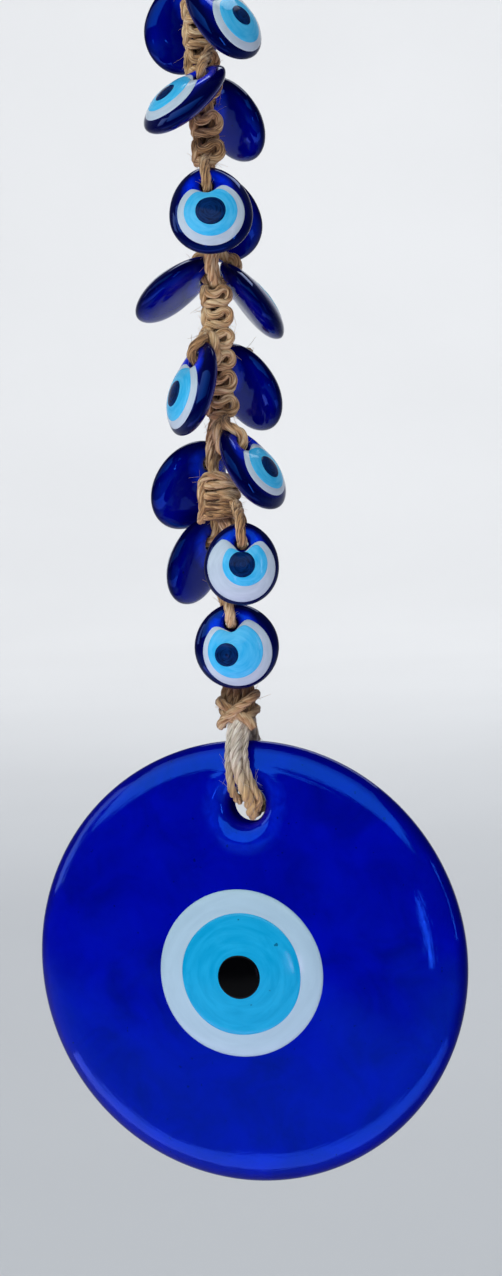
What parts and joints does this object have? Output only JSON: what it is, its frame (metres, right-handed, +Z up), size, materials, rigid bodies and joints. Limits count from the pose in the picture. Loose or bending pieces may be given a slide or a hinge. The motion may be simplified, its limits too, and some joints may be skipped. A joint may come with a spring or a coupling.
{
  "type": "evil eye wall hanging",
  "caption": "Large blue glass evil eye disc hung by a jute loop from a knotted stem with small petal-shaped glass eye beads tied along it, under a hanging loop.",
  "frame": {"origin": "under the top of the hanging loop, where a nail or hook carries it", "axes": "+Z up along the stem, -Y toward the viewer (the side that the disc's eye faces), +X to the viewer's right"},
  "size_m": [0.111, 0.0406, 0.3611],
  "materials": {
    "cobalt_glass": "polished cobalt blue glass, deep and clear",
    "bead_glass": "polished dark blue glass",
    "white_glass": "milky bluish white glass",
    "sky_glass": "opaque sky blue glass",
    "black_glass": "polished black glass",
    "navy_glass": "polished navy glass",
    "jute": "grey brown two-ply jute, hairy",
    "pale_jute": "pale two-ply jute, hairy"
  },
  "bodies": {
    "stem": {"bead_01": "bead_glass", "bead_02": "bead_glass", "bead_03": "bead_glass", "bead_04": "bead_glass", "bead_05": "bead_glass", "bead_06": "bead_glass", "bead_07": "bead_glass", "bead_08": "bead_glass", "bead_09": "bead_glass", "bead_10": "bead_glass", "bead_11": "bead_glass", "bead_12": "bead_glass", "bead_13": "bead_glass", "bead_14": "bead_glass", "bead_15": "bead_glass", "bead_whites": "white_glass", "bead_irises": "sky_glass", "bead_pupils": "navy_glass", "hanging_loop": "jute", "top_knot": "jute", "macrame_stem": "jute", "bead_ties": "jute", "lower_knot": "jute", "disc_loop": "pale_jute"},
    "disc": {"disc_glass": "cobalt_glass", "disc_white": "white_glass", "disc_iris": "sky_glass", "disc_pupil": "black_glass"}
  },
  "joints": [
    {"name": "disc_swing", "type": "hinge", "parent": "stem", "child": "disc", "pos_m": [-0.0005, 0, -0.261], "axis": [0, 1, 0], "range_deg": [-15, 15]}
  ]
}
